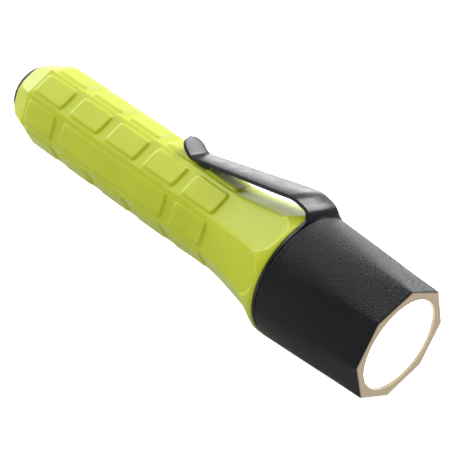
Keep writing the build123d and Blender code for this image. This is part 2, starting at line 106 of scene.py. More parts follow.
THREAD_PITCH = 2.0
MALE_ROOT_R = 13.85
THREAD_DEPTH = 0.8
RIDGE_FOOT_HALF = 0.5
RIDGE_CREST_HALF = 0.25
MALE_THREAD = (-26.4, -15.4)
MALE_PHASE = 0.0


def through(points, x):
    """A smooth curve through points, read at x; it levels out beyond the last points."""
    xs, ys = np.array(points, float).T
    slopes = np.gradient(ys, xs)
    at = np.clip(x, xs[0], xs[-1])
    i = np.clip(np.searchsorted(xs, at) - 1, 0, len(xs) - 2)
    width = xs[i + 1] - xs[i]
    t = (at - xs[i]) / width
    rise = (2 * t**3 - 3 * t**2 + 1) * ys[i] + (3 * t**2 - 2 * t**3) * ys[i + 1]
    lean = (t**3 - 2 * t**2 + t) * slopes[i] + (t**3 - t**2) * slopes[i + 1]
    return rise + lean * width


def ease(t):
    """0 to 1, smooth at both ends."""
    t = np.clip(t, 0, 1)
    return t * t * (3 - 2 * t)


def blunt(a, b, radius):
    """The lower of a and b, with the crease between them rounded."""
    mix = np.clip(0.5 + 0.5 * (b - a) / radius, 0, 1)
    return b * (1 - mix) + a * mix - radius * mix * (1 - mix)


def thread_ridge(x, angle, phase, ends):
    """0 to 1: how high a right-hand thread's ridge stands at x and at an angle about the beam."""
    along = (x - phase - THREAD_PITCH * angle / (2 * math.pi)) % THREAD_PITCH
    off = np.abs(along - THREAD_PITCH / 2)
    flank = (RIDGE_FOOT_HALF - off) / (RIDGE_FOOT_HALF - RIDGE_CREST_HALF)
    fade = ease((x - ends[0]) / THREAD_FADE) * ease((ends[1] - x) / THREAD_FADE)
    return np.clip(flank, 0, 1) * fade


def side_columns(*stretches):
    """Places across one side, from -1 at one corner to 1 at the next, without the last corner."""
    half = np.concatenate([np.linspace(a, b, count, endpoint=False) for a, b, count in stretches])
    return np.concatenate([-1 + np.zeros(1), -half[::-1][:-1], half])


GRIP_COLUMNS = side_columns((0.0, 0.62, 4), (0.62, 0.84, 9), (0.84, 1.0, 4))


def column_angles(columns, first_side):
    """Each column's angle about the beam and from its own side's middle, all the way round."""
    own = np.arctan(columns * math.tan(HALF_SIDE))
    middles = first_side + np.arange(SIDES) * 2 * HALF_SIDE
    return (middles[:, None] + own[None, :]).ravel(), np.tile(own, SIDES)


def ring_points(x, radius, angle):
    """Points at x, at a radius and an angle from +Y about the beam."""
    x = np.broadcast_to(x, angle.shape)
    return np.stack([x, radius * np.cos(angle), radius * np.sin(angle)], axis=1)


def pad_rise(x, across):
    """How far the pads stand out of a plain side, at x and at a distance across it."""
    middles = [(FIRST_PAD + PAD_PITCH * k, PAD_HALF_LENGTH) for k in range(PADS_IN_ROW)]
    return pads_rise(x, across, middles)


def panel_rise(x, across):
    """The same for the side whose three middle pads are one plain panel."""
    last = FIRST_PAD + PAD_PITCH * (PADS_IN_ROW - 1)
    panel = (FIRST_PAD + PAD_PITCH * 2, PAD_HALF_LENGTH + PAD_PITCH)
    return pads_rise(x, across, [(FIRST_PAD, PAD_HALF_LENGTH), panel, (last, PAD_HALF_LENGTH)])


def pads_rise(x, across, pads):
    """The tallest of some rounded oblongs with sloping edges."""
    inside = -1e9
    for middle, half_length in pads:
        along_gap = abs(x - middle) - half_length + PAD_CORNER
        across_gap = np.abs(across) - PAD_HALF_WIDTH + PAD_CORNER
        outside = np.hypot(np.maximum(along_gap, 0), np.maximum(across_gap, 0))
        edge = outside + np.minimum(np.maximum(along_gap, across_gap), 0) - PAD_CORNER
        inside = np.maximum(inside, -edge)
    slope = np.clip(inside / PAD_EDGE, 0, 1)
    return PAD_RISE * (PAD_STRAIGHT_SHARE * slope + (1 - PAD_STRAIGHT_SHARE) * ease(slope))


CORNER_LINE = ((-137.5, 9.0), (TAIL_RIM, TAIL_RIM_R), (-134, 11.1), (GRIP_REAR, CORNER_R),
               (-125, CORNER_R))
FLARE_FLAT = ((-70, FLAT), (GRIP_FRONT, FLAT), (-51.5, 12.2), (-47.6, 13.0), (-43, 13.9),
              (-39, 14.7), (-35, 15.4))
FLARE_CORNER = ((-70, CORNER_R), (GRIP_FRONT, CORNER_R), (-54, 12.6), (-50, 13.45),
                (-46, 14.3), (-42, 15.25), (-38.2, 16.4), (-35.2, 17.2), (-33, COLLAR_R),
                (-30, COLLAR_R))
TAIL_LEAN = (FLAT - TAIL_FLAT_R) / (GRIP_REAR - TAIL_RIM)
SCOOP_NOSE = 6.3
SCOOP_END = -34.5
SCOOP_WALL = 1.5
SCOOP_WALL_RISE = 3.0
EDGE_ROUND = 0.2
RIDGE_ROUND = 0.9
RIDGE_SOFTENS_OVER = 12
THREAD_FADE = 0.5


def barrel_radius(x, own):
    """The outside without the pads: flats between rounded corners, scooped in the flare."""
    if x < -90:
        flat = min(FLAT, TAIL_FLAT_R + (x - TAIL_RIM) * TAIL_LEAN)
        corner = through(CORNER_LINE, x)
    else:
        flat = through(FLARE_FLAT, x)
        corner = through(FLARE_CORNER, x)
    across = flat * np.tan(own)
    nose = SCOOP_END - SCOOP_NOSE + np.sqrt(np.maximum(SCOOP_NOSE**2 - across**2, 0))
    wall = ease((x - nose + SCOOP_WALL) / (1.25 * SCOOP_WALL))
    flat = flat + wall * SCOOP_WALL_RISE
    # the ridges between the scoops soften towards the collar, but the scoops' front walls stay crisp
    soft = EDGE_ROUND + RIDGE_ROUND * ease((x - GRIP_FRONT) / RIDGE_SOFTENS_OVER) * (1 - wall)
    return blunt(flat / np.cos(own), np.full_like(own, corner), soft)


def barrel_ring(x, angle, own):
    """One ring of the outside, with its pads."""
    radius = barrel_radius(x, own)
    across = radius * np.sin(own)
    side = np.repeat(np.arange(SIDES), len(GRIP_COLUMNS))
    rise = np.where(side == PANEL_SIDE, panel_rise(x, across), pad_rise(x, across))
    up = radius * np.cos(own) + rise
    return ring_points(x, np.hypot(across, up), angle - own + np.arctan2(across, up))


def pad_stations():
    """Where the grip needs rings: close together at every pad's ends."""
    near = np.array([-6.4, -6.1, -5.95, -5.85, -5.75, -5.65, -5.55, -5.4, -5.2, -4.9, -3.0])
    one = np.concatenate([near, [0], -near[::-1]])
    return np.concatenate([FIRST_PAD + PAD_PITCH * k + one for k in range(PADS_IN_ROW)])


def slotted_bore(x, angle):
    """A ring of the cell bore, with the ground strip's slot in its floor."""
    radius = np.full_like(angle, CELL_BORE_R)
    low = (np.abs(radius * np.cos(angle)) < STRIP_SLOT_HALF) & (np.sin(angle) < 0)
    radius[low] = STRIP_SLOT_FLOOR / np.abs(np.sin(angle[low]))
    return ring_points(x, radius, angle)


def barrel_rings():
    """Every ring of the barrel, from the tail rim over the outside and back down the bore."""
    angle, own = column_angles(GRIP_COLUMNS, math.pi / 2)
    level = np.zeros_like(angle)
    rings = [ring_points(TAIL_RIM, level + TAIL_RIM_R - 0.35, angle)]
    tail = TAIL_RIM + 0.3 * np.linspace(0.1, 1, 3)
    body = np.concatenate([np.linspace(TAIL_RIM + 0.6, GRIP_REAR, 16), [GRIP_REAR + 0.15]])
    flare = np.concatenate([np.linspace(-57.3, -45, 28), np.linspace(-44.6, -34.4, 46)])
    for x in np.concatenate([tail, body, pad_stations(), flare]):
        rings.append(barrel_ring(x, angle, own))
    for share in np.linspace(0, 1, 4):
        x = COLLAR_FRONT + COLLAR_CHAMFER * (share - 1)
        rings.append(ring_points(x, level + COLLAR_R - COLLAR_CHAMFER * share**1.6, angle))
    rear, front = SEAL_GROOVE
    neck = [(COLLAR_FRONT, NECK_R), (rear, NECK_R), (rear, SEAL_GROOVE_R), (front, SEAL_GROOVE_R),
            (front, NECK_R), (-27.6, NECK_R), (-27.4, MALE_ROOT_R)]
    rings += [ring_points(x, level + radius, angle) for x, radius in neck]
    for x in np.arange(-27.2, NECK_FRONT - 0.4, THREAD_PITCH / 16):
        ridge = thread_ridge(x, angle, MALE_PHASE, MALE_THREAD)
        rings.append(ring_points(x, MALE_ROOT_R + THREAD_DEPTH * ridge, angle))
    mouth = [(NECK_FRONT - 0.3, MALE_ROOT_R), (NECK_FRONT, MALE_ROOT_R - 0.3),
             (NECK_FRONT, NECK_BORE_R + 0.2), (NECK_FRONT - 0.2, NECK_BORE_R),
             (NECK_BORE_REAR, NECK_BORE_R)]
    rings += [ring_points(x, level + radius, angle) for x, radius in mouth]
    rings += [slotted_bore(x, angle) for x in (NECK_BORE_REAR, -134.0)]
    hole = [(-134.0, CELL_BORE_R), (TAIL_RIM + 1.0, CELL_BORE_R), (TAIL_RIM + 1.0, TAIL_HOLE_R),
            (TAIL_RIM, TAIL_HOLE_R)]
    return rings + [ring_points(x, level + radius, angle) for x, radius in hole]


def sheet_piece(name, rings, material, crease=50):
    """A closed mesh through equal rings of points in millimetres, the last joined to the first."""
    count, around = len(rings), len(rings[0])
    points = np.concatenate(rings) * MM
    row, column = np.divmod(np.arange(count * around), around)
    below = (row + 1) % count * around
    beside = (column + 1) % around
    corners = (row * around + column, row * around + beside, below + beside, below + column)
    return mesh_piece(name, points, np.stack(corners, axis=1), material, crease)


def mesh_piece(name, points, faces, material, crease=50):
    """A smooth-shaded object from points in metres and faces; creases over an angle stay sharp."""
    mesh = bpy.data.meshes.new(name)
    mesh.from_pydata(points.tolist(), [], [list(map(int, face)) for face in faces])
    mesh.validate()
    mesh.shade_smooth()
    mesh.set_sharp_from_angle(angle=math.radians(crease))
    mesh.materials.append(material)
    piece = bpy.data.objects.new(name, mesh)
    bpy.context.collection.objects.link(piece)
    outwards(piece)
    return piece


def outwards(piece):
    """Turns a closed mesh's faces to look outwards."""
    mesh = piece.data
    corners = np.empty(len(mesh.vertices) * 3)
    mesh.vertices.foreach_get("co", corners)
    corners = corners.reshape(-1, 3)
    mesh.calc_loop_triangles()
    triangles = np.array([t.vertices for t in mesh.loop_triangles])
    a, b, c = (corners[triangles[:, k]] for k in range(3))
    if np.einsum("ij,ij->i", a, np.cross(b, c)).sum() < 0:
        mesh.flip_normals()


def linear(code):
    """A colour from its sRGB hex code, in linear light."""
    parts = [int(code[k:k + 2], 16) / 255 for k in (0, 2, 4)]
    return (*[p / 12.92 if p <= 0.04045 else ((p + 0.055) / 1.055) ** 2.4 for p in parts], 1.0)


def add(tree, kind, values=None, **settings):
    """Adds a node: settings are its own, and values fill its inputs with numbers or links."""
    node = tree.nodes.new("ShaderNode" + kind)
    for key, value in settings.items():
        setattr(node, key, value)
    for key, value in (values or {}).items():
        if isinstance(value, bpy.types.NodeSocket):
            tree.links.new(value, node.inputs[key])
        else:
            node.inputs[key].default_value = value
    return node


def new_material(name):
    """An empty node material, and the place that its patterns are measured from, in metres."""
    material = bpy.data.materials.new(name)
    material.use_nodes = True
    material.node_tree.nodes.clear()
    place = add(material.node_tree, "TexCoord").outputs["Object"]
    return material, material.node_tree, place


def finish_surface(tree, surface):
    """Joins a shader to the material's output."""
    add(tree, "OutputMaterial", {"Surface": surface.outputs[0]})


def moulded_nylon_yellow():
    """Glass-filled nylon moulded in safety yellow-green: satin, faintly cloudy; painted highlight on
    edges, painted shade in grooves.
    """
    material, tree, place = new_material("moulded_nylon_safety_yellow")
    # cloudiness over about 12 mm, from the flow of the filled plastic in the mould
    flow = add(tree, "TexNoise", {"Vector": place, "Scale": 80.0, "Detail": 3.0})
    tint = add(tree, "Mix", {0: flow.outputs["Fac"], 6: linear("BFCC12"), 7: linear("CDDA1A")},
               data_type="RGBA")
    # convex edges are painted a little paler: a painted highlight
    edge = add(tree, "MapRange", {0: add(tree, "NewGeometry").outputs["Pointiness"],
                                  1: 0.52, 2: 0.60, 3: 0.0, 4: 0.35})
    wear_and_painted_light = add(tree, "Mix", {0: edge.outputs[0], 6: tint.outputs[2], 7: linear("E6EA78")},
               data_type="RGBA")
    # and the grooves and hollows are painted darker: painted shade
    painted_groove_shade = add(tree, "MapRange", {0: add(tree, "NewGeometry").outputs["Pointiness"],
                                    1: 0.40, 2: 0.495, 3: 0.5, 4: 0.0})
    wear_and_painted_light = add(tree, "Mix", {0: painted_groove_shade.outputs[0], 6: wear_and_painted_light.outputs[2], 7: linear("8E9A14")},
               data_type="RGBA")
    # the mould's spark texture, about 0.25 mm, drawn three times as coarse so that it shows
    spark = add(tree, "TexNoise", {"Vector": place, "Scale": 1300.0, "Detail": 3.0})
    bump = add(tree, "Bump", {"Height": spark.outputs["Fac"], "Strength": 0.3,
                              "Distance": 0.0001})
    rough = add(tree, "MapRange", {0: spark.outputs["Fac"], 1: 0.3, 2: 0.7, 3: 0.30, 4: 0.44})
    finish_surface(tree, add(tree, "BsdfPrincipled", {
        "Base Color": wear_and_painted_light.outputs[2], "Roughness": rough.outputs[0], "Normal": bump.outputs[0],
        "IOR": 1.5, "Specular IOR Level": 0.4, "Sheen Weight": 0.25, "Sheen Roughness": 0.45,
        "Subsurface Weight": 0.12, "Subsurface Radius": (0.9, 1.0, 0.25),
        "Subsurface Scale": 0.0012,
    }))
    return material


yellow = moulded_nylon_yellow()
barrel = sheet_piece("barrel_moulding", barrel_rings(), yellow)
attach(barrel, "barrel")
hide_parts("barrel")

# ---- Ground strip and cells ---------------------------------------------------------------------
# A brass strip lies in a slot in the bore's floor and carries the current back past the cells.
# Two 17 mm lithium cells lie end to end: nickel-plated cans in plain shrink sleeves.


def pressed_brass():
    """Stamped brass: yellow metal with the roll's fine streaks and a few dull spots."""
    material, tree, place = new_material("stamped_brass")
    long = add(tree, "Mapping", {"Vector": place, "Scale": (60.0, 2500.0, 2500.0)})
    streaks = add(tree, "TexNoise", {"Vector": long.outputs[0], "Scale": 1.0, "Detail": 4.0})
    tint = add(tree, "Mix", {0: streaks.outputs["Fac"], 6: linear("B08A3E"), 7: linear("D9B566")},
               data_type="RGBA")
    rough = add(tree, "MapRange", {0: streaks.outputs["Fac"], 3: 0.2, 4: 0.38})
    finish_surface(tree, add(tree, "BsdfPrincipled", {
        "Base Color": tint.outputs[2], "Roughness": rough.outputs[0], "Metallic": 1.0}))
    return material


def plated_metal(name, dark, light, roughest):
    """Nickel or zinc plate: pale metal, with soft cloudy changes of gloss over a few millimetres."""
    material, tree, place = new_material(name)
    cloud = add(tree, "TexNoise", {"Vector": place, "Scale": 350.0, "Detail": 3.0})
    tint = add(tree, "Mix", {0: cloud.outputs["Fac"], 6: linear(dark), 7: linear(light)},
               data_type="RGBA")
    rough = add(tree, "MapRange", {0: cloud.outputs["Fac"], 3: 0.12, 4: roughest})
    finish_surface(tree, add(tree, "BsdfPrincipled", {
        "Base Color": tint.outputs[2], "Roughness": rough.outputs[0], "Metallic": 1.0}))
    return material


def grained_plastic(name, dark, light, grain_mm, depth_mm, smoothest, roughest):
    """A plain plastic or rubber skin, with its mould's grain and a slight change of tint."""
    material, tree, place = new_material(name)
    grain = add(tree, "TexNoise", {"Vector": place, "Scale": 1 / (grain_mm * MM), "Detail": 3.0})
    tint = add(tree, "Mix", {0: grain.outputs["Fac"], 6: linear(dark), 7: linear(light)},
               data_type="RGBA")
    bump = add(tree, "Bump", {"Height": grain.outputs["Fac"], "Strength": 0.4,
                              "Distance": depth_mm * MM})
    rough = add(tree, "MapRange", {0: grain.outputs["Fac"], 3: smoothest, 4: roughest})
    finish_surface(tree, add(tree, "BsdfPrincipled", {
        "Base Color": tint.outputs[2], "Roughness": rough.outputs[0], "Normal": bump.outputs[0]}))
    return material


def dress(material, *nodes):
    """Gives a CAD node's own mesh its finish."""
    for name in nodes:
        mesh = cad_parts[name].data
        mesh.materials.clear()
        mesh.materials.append(material)


brass = pressed_brass()
nickel = plated_metal("nickel_plate", "B9B6AE", "DAD8D2", 0.3)
sleeve = grained_plastic("shrink_sleeve_pvc", "23306B", "2C3B7D", 2.0, 0.01, 0.2, 0.3)
fibre = grained_plastic("insulating_fibre_board", "C9C5B4", "E0DDCF", 0.3, 0.02, 0.6, 0.8)
dress(brass, "ground_strip")
for cell in ("front_cell", "rear_cell"):
    dress(nickel, cell + "_can", cell + "_cap")
    dress(sleeve, cell + "_sleeve")
    dress(fibre, cell + "_seal")

# ---- Tail switch --------------------------------------------------------------------------------
# A cartridge goes in through the cell bore. Its nylon plunger stands under a moulded rubber boot
# whose flange is held behind the tail's lip; a coil spring pushes both back out.

BOOT_END = -139.0
BOOT_R = 8.05
BOOT_EDGE = 0.3
BOOT_FLANGE_R = 8.65
BOOT_FLANGE_REAR = TAIL_RIM + 1.0
BOOT_FLANGE_FRONT = BOOT_FLANGE_REAR + 1.0
BOOT_BORE_R = 7.0
BOOT_ROOF = 1.2
BOOT_PAD_R = 5.6
SPRING_WIRE_R = 0.3


def turned_rings(outline, columns=96):
    """Rings of a turned piece, from its outline of (x, radius) in millimetres."""
    angle = np.linspace(0, 2 * math.pi, columns, endpoint=False)
    return [ring_points(x, np.full_like(angle, max(radius, 0.0001)), angle)
            for x, radius in outline]


def bend(middle, radius, start, end, count=5):
    """Points of an arc in (x, radius), between two angles in degrees from +x."""
    angles = np.radians(np.linspace(start, end, count))
    return [(middle[0] + radius * math.cos(a), middle[1] + radius * math.sin(a)) for a in angles]


boot_outline = (
    [(BOOT_END + 0.15, 0), (BOOT_END + 0.15, BOOT_PAD_R - 0.2), (BOOT_END, BOOT_PAD_R)]
    + bend((BOOT_END + BOOT_EDGE, BOOT_R - BOOT_EDGE), BOOT_EDGE, 180, 90)
    + [(BOOT_FLANGE_REAR, BOOT_R), (BOOT_FLANGE_REAR, BOOT_FLANGE_R),
       (BOOT_FLANGE_FRONT, BOOT_FLANGE_R), (BOOT_FLANGE_FRONT, BOOT_BORE_R),
       (BOOT_END + BOOT_ROOF, BOOT_BORE_R), (BOOT_END + BOOT_ROOF, 0)]
)
boot_rubber = grained_plastic("moulded_nitrile_rubber_grey", "3E423B", "4A4E46", 0.35, 0.03, 0.5,
                              0.68)
boot = sheet_piece("switch_boot_moulding", turned_rings(boot_outline), boot_rubber)
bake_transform(boot)
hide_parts("switch_boot")

black_smooth = grained_plastic("moulded_nylon_black_smooth", "161616", "202020", 0.8, 0.01, 0.3,
                               0.42)
dress(black_smooth, "switch_housing", "switch_plunger")
dress(brass, "switch_moving_contact", "switch_fixed_contact")


def coil_piece(name, x_start, x_end, start_r, end_r, wire_r, turns, material):
    """A coil spring of round wire on the beam axis, as a tube mesh with flat closed ends."""
    steps = int(turns * 28)
    t = np.linspace(0, 1, steps)
    turn = 2 * math.pi * turns * t
    radius = start_r + (end_r - start_r) * t
    middle = np.stack([x_start + (x_end - x_start) * t, radius * np.cos(turn),
                       radius * np.sin(turn)], axis=1)
    ahead = np.gradient(middle, axis=0)
    ahead /= np.linalg.norm(ahead, axis=1)[:, None]
    out = np.stack([np.zeros(steps), np.cos(turn), np.sin(turn)], axis=1)
    side = np.cross(ahead, out)
    rings = [middle[:1].repeat(10, axis=0)]
    for k in range(steps):
        a = np.linspace(0, 2 * math.pi, 10, endpoint=False)[:, None]
        rings.append(middle[k] + wire_r * (np.cos(a) * out[k] + np.sin(a) * side[k]))
    rings.append(middle[-1:].repeat(10, axis=0))
    return capped_piece(name, rings, material)


def capped_piece(name, rings, material, crease=50):
    """A mesh through rings whose first and last ring are each a single place."""
    around = len(rings[1])
    inner = np.concatenate(rings[1:-1])
    points = np.concatenate([rings[0][:1], inner, rings[-1][:1]]) * MM
    faces = []
    for row in range(len(rings) - 3):
        for column in range(around):
            beside = (column + 1) % around
            first = 1 + row * around
            faces.append((first + column, first + beside, first + around + beside,
                          first + around + column))
    last = 1 + (len(rings) - 3) * around
    for column in range(around):
        beside = (column + 1) % around
        faces.append((0, 1 + beside, 1 + column))
        faces.append((len(points) - 1, last + column, last + beside))
    return mesh_piece(name, points, faces, material, crease)


def span(node):
    """A node's lowest and highest x, in millimetres."""
    low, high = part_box(node)
    return low[0] / MM, high[0] / MM


spring_wire = plated_metal("nickel_plated_spring_wire", "A8A7A2", "D2D1CC", 0.28)
low, high = span("switch_return_spring")
return_spring = coil_piece("return_spring_coil", low + SPRING_WIRE_R, high - SPRING_WIRE_R, 5.4,
                           5.4, SPRING_WIRE_R, 3, spring_wire)
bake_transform(return_spring)
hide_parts("switch_return_spring")
dress(spring_wire, "tail_spring")

# ---- Neck seal ring -----------------------------------------------------------------------------
# A black rubber ring in the neck's groove keeps water out where the head screws on.

black_rubber = grained_plastic("moulded_rubber_black", "0E0E0E", "171717", 0.3, 0.01, 0.35, 0.5)
dress(black_rubber, "body_seal_ring")

# ---- Lamp module --------------------------------------------------------------------------------
# An aluminised bowl, a xenon lamp in a ceramic socket and a brass cup, dropped in behind the lens.
# Its outer spring rests on the barrel's shoulder and its centre spring on the front cell.

LENS_REAR = -3.6
BOWL_MOUTH = LENS_REAR - 0.1
BOWL_FLOOR = -22.5
BOWL_MOUTH_R = 12.4
BOWL_RIM_R = 13.3
BOWL_RIM = 1.2
BOWL_WALL = 0.8
LAMP_HOLE_R = 2.8
BOSS_R = 7.4
BOSS_REAR = -24.4


def aluminised_bowl_lit():
    """Vacuum-aluminised plastic with the lamp on: a mirror that glows, warmer towards its rim."""
    material, tree, place = new_material("vacuum_aluminised_mirror_lit")
    parts = add(tree, "SeparateXYZ", {0: place})
    depth = add(tree, "MapRange", {0: parts.outputs[0], 1: -9.0 * MM, 2: BOWL_MOUTH * MM,
                                   3: 0.0, 4: 1.0})
    glow = add(tree, "Mix", {0: depth.outputs[0], 6: linear("FFFBF2"), 7: linear("FFEBC8")},
               data_type="RGBA")
    ripple = add(tree, "TexNoise", {"Vector": place, "Scale": 400.0, "Detail": 2.0})
    rough = add(tree, "MapRange", {0: ripple.outputs["Fac"], 3: 0.04, 4: 0.1})
    finish_surface(tree, add(tree, "BsdfPrincipled", {
        "Base Color": linear("EDEBE6"), "Roughness": rough.outputs[0], "Metallic": 1.0,
        "Emission Color": glow.outputs[2], "Emission Strength": 3.0}))
    return material


def bowl_outline():
    """The bowl's section: a parabola inside, the same moved out behind, a rim and a boss."""
    steep = BOWL_MOUTH_R**2 / (BOWL_MOUTH - BOWL_FLOOR)
    radii = np.linspace(LAMP_HOLE_R, BOWL_MOUTH_R, 28)
    inside = [(BOWL_FLOOR + r * r / steep, r) for r in radii]
    behind = [(x, r + BOWL_WALL) for x, r in inside if x < BOWL_MOUTH - BOWL_RIM - 1]
    behind = [(x, r) for x, r in behind[::-1] if r > BOSS_R + 0.1]
    rim = [(BOWL_MOUTH, BOWL_RIM_R - 0.1), (BOWL_MOUTH - 0.1, BOWL_RIM_R),
           (BOWL_MOUTH - BOWL_RIM, BOWL_RIM_R)]
    boss = [(behind[-1][0], BOSS_R), (BOSS_REAR, BOSS_R), (BOSS_REAR, LAMP_HOLE_R)]
    return inside + rim + behind + boss


bowl = sheet_piece("reflector_bowl", turned_rings(bowl_outline(), 128), aluminised_bowl_lit())
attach(bowl, "lamp_module")
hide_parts("reflector")


def hot_tungsten():
    """The filament's drawn wire at working heat: it gives its own warm white light."""
    material, tree, place = new_material("drawn_tungsten_hot")
    heat = add(tree, "TexNoise", {"Vector": place, "Scale": 3000.0})
    tint = add(tree, "Mix", {0: heat.outputs["Fac"], 6: linear("FFD9A0"), 7: linear("FFF2DA")},
               data_type="RGBA")
    finish_surface(tree, add(tree, "Emission", {"Color": tint.outputs[2], "Strength": 30.0}))
    return material


def clear_glass(name, tint, index, roughness, glow=0.0):
    """Clear glass or plastic: see-through, bright-edged, with very faint flow marks.

    Glow is how much of the lamp's light it scatters towards the eye.
    """
    material, tree, place = new_material(name)
    flow = add(tree, "TexNoise", {"Vector": place, "Scale": 120.0})
    bump = add(tree, "Bump", {"Height": flow.outputs["Fac"], "Strength": 0.05,
                              "Distance": 0.00002})
    finish_surface(tree, add(tree, "BsdfPrincipled", {
        "Base Color": linear(tint), "Roughness": roughness, "Normal": bump.outputs[0],
        "IOR": index, "Transmission Weight": 1.0, "Emission Color": linear("FFFCF2"),
        "Emission Strength": glow}))
    return material


ceramic = grained_plastic("pressed_steatite_ceramic", "D9D4C6", "E8E4D8", 0.2, 0.01, 0.45, 0.6)
dress(clear_glass("drawn_quartz_glass", "FBFCFC", 1.46, 0.02), "lamp_glass")
dress(hot_tungsten(), "lamp_filament")
dress(nickel, "lamp_pins")
dress(ceramic, "lamp_socket")
dress(brass, "module_cup", "centre_contact")

low, high = span("centre_spring")
centre_spring = coil_piece("centre_spring_coil", low + SPRING_WIRE_R, high - SPRING_WIRE_R, 2.4,
                           4.2, SPRING_WIRE_R, 4, spring_wire)
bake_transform(centre_spring)
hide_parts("centre_spring")
low, high = span("outer_spring")
outer_spring = coil_piece("outer_spring_coil", low + 0.4, high - 0.4, 10.1, 10.1, 0.4, 5,
                          spring_wire)
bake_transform(outer_spring)
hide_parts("outer_spring")

# ---- Head ---------------------------------------------------------------------------------------
# A black nylon moulding, round where it meets the collar and eight-sided at the face, with the
# barrel's thread inside and a lip in front that holds the lens.

HEAD_REAR = -32.3
HEAD_CORNER_ANGLE = math.radians(12.4)
REAR_EDGE_R = 17.35
REAR_ROUND = 0.3
FACE_R = 15.8
FACE_APOTHEM = 14.65
FACET_SLOPE = 0.112
FACE_ROUND = 0.5
FACE_CREASE = 0.06
REAR_CREASE = 1.1
CREASE_SOFTENS_OVER = 10
OPENING_R = 12.55
LIP = 1.3
LENS_SEAT_R = 13.5
LENS_SEAT_REAR = -6.0
HEAD_CAVITY_R = 14.0
HEAD_THREAD_FRONT = -13.5
HEAD_SEAL_FRONT = -26.8
FEMALE_ROOT_R = 14.85
HEAD_SEAL_R = 15.0
FEMALE_THREAD = (-26.0, -14.6)
HEAD_COLUMNS = side_columns((0.0, 0.7, 7), (0.7, 0.92, 5), (0.92, 1.0, 5))


def head_ring(x, angle, own, inset=0.0):
    """One ring of the head's outside: tapering flats under a turned shape."""
    flat = (FACE_APOTHEM - FACET_SLOPE * x - inset) / np.cos(own)
    cone = FACE_R + (REAR_EDGE_R - FACE_R) * x / HEAD_REAR
    turned = np.full_like(own, cone - inset)
    crease = FACE_CREASE + REAR_CREASE * ease(-x / CREASE_SOFTENS_OVER)
    return ring_points(x, blunt(flat, turned, crease), angle)


def head_rings():
    """Every ring of the head: over the outside to the face, in at the opening, and back inside."""
    first = HEAD_CORNER_ANGLE + HALF_SIDE
    angle, own = column_angles(HEAD_COLUMNS, first)
    level = np.zeros_like(angle)
    rings = [ring_points(HEAD_REAR, level + HEAD_SEAL_R + 0.2, angle)]
    for x, radius in bend((HEAD_REAR + REAR_ROUND, REAR_EDGE_R - REAR_ROUND), REAR_ROUND, 180,
                          100, 5):
        rings.append(ring_points(x, level + radius, angle))
    for x in np.concatenate([np.linspace(-31.9, -20, 16), np.linspace(-19.5, -2, 36),
                             [-1.5, -1.1, -0.9]]):
        rings.append(head_ring(x, angle, own))
    for turn in np.linspace(0, 1, 6) * math.pi / 2:
        x = -FACE_ROUND * (1 - math.sin(turn))
        rings.append(head_ring(x, angle, own, FACE_ROUND * (1 - math.cos(turn))))
    outer = rings[-1]
    for share in (0.25, 0.5, 0.75, 0.92):
        inner = ring_points(0.0, level + OPENING_R + 0.2, angle)
        rings.append(outer + (inner - outer) * share)
    inside = [(0.0, OPENING_R + 0.2), (-0.06, OPENING_R + 0.06), (-0.2, OPENING_R),
              (-LIP, OPENING_R), (-LIP, LENS_SEAT_R), (LENS_SEAT_REAR, LENS_SEAT_R),
              (LENS_SEAT_REAR, HEAD_CAVITY_R), (HEAD_THREAD_FRONT, HEAD_CAVITY_R),
              (HEAD_THREAD_FRONT, FEMALE_ROOT_R)]
    rings += [ring_points(x, level + radius, angle) for x, radius in inside]
    phase = MALE_PHASE + THREAD_PITCH / 2
    for x in np.arange(HEAD_THREAD_FRONT - 0.1, HEAD_SEAL_FRONT, -THREAD_PITCH / 16):
        ridge = thread_ridge(x, angle, phase, FEMALE_THREAD)
        rings.append(ring_points(x, FEMALE_ROOT_R - THREAD_DEPTH * ridge, angle))
    seal = [(HEAD_SEAL_FRONT, FEMALE_ROOT_R), (HEAD_SEAL_FRONT - 0.1, HEAD_SEAL_R),
            (HEAD_REAR + 0.2, HEAD_SEAL_R)]
    return rings + [ring_points(x, level + radius, angle) for x, radius in seal]


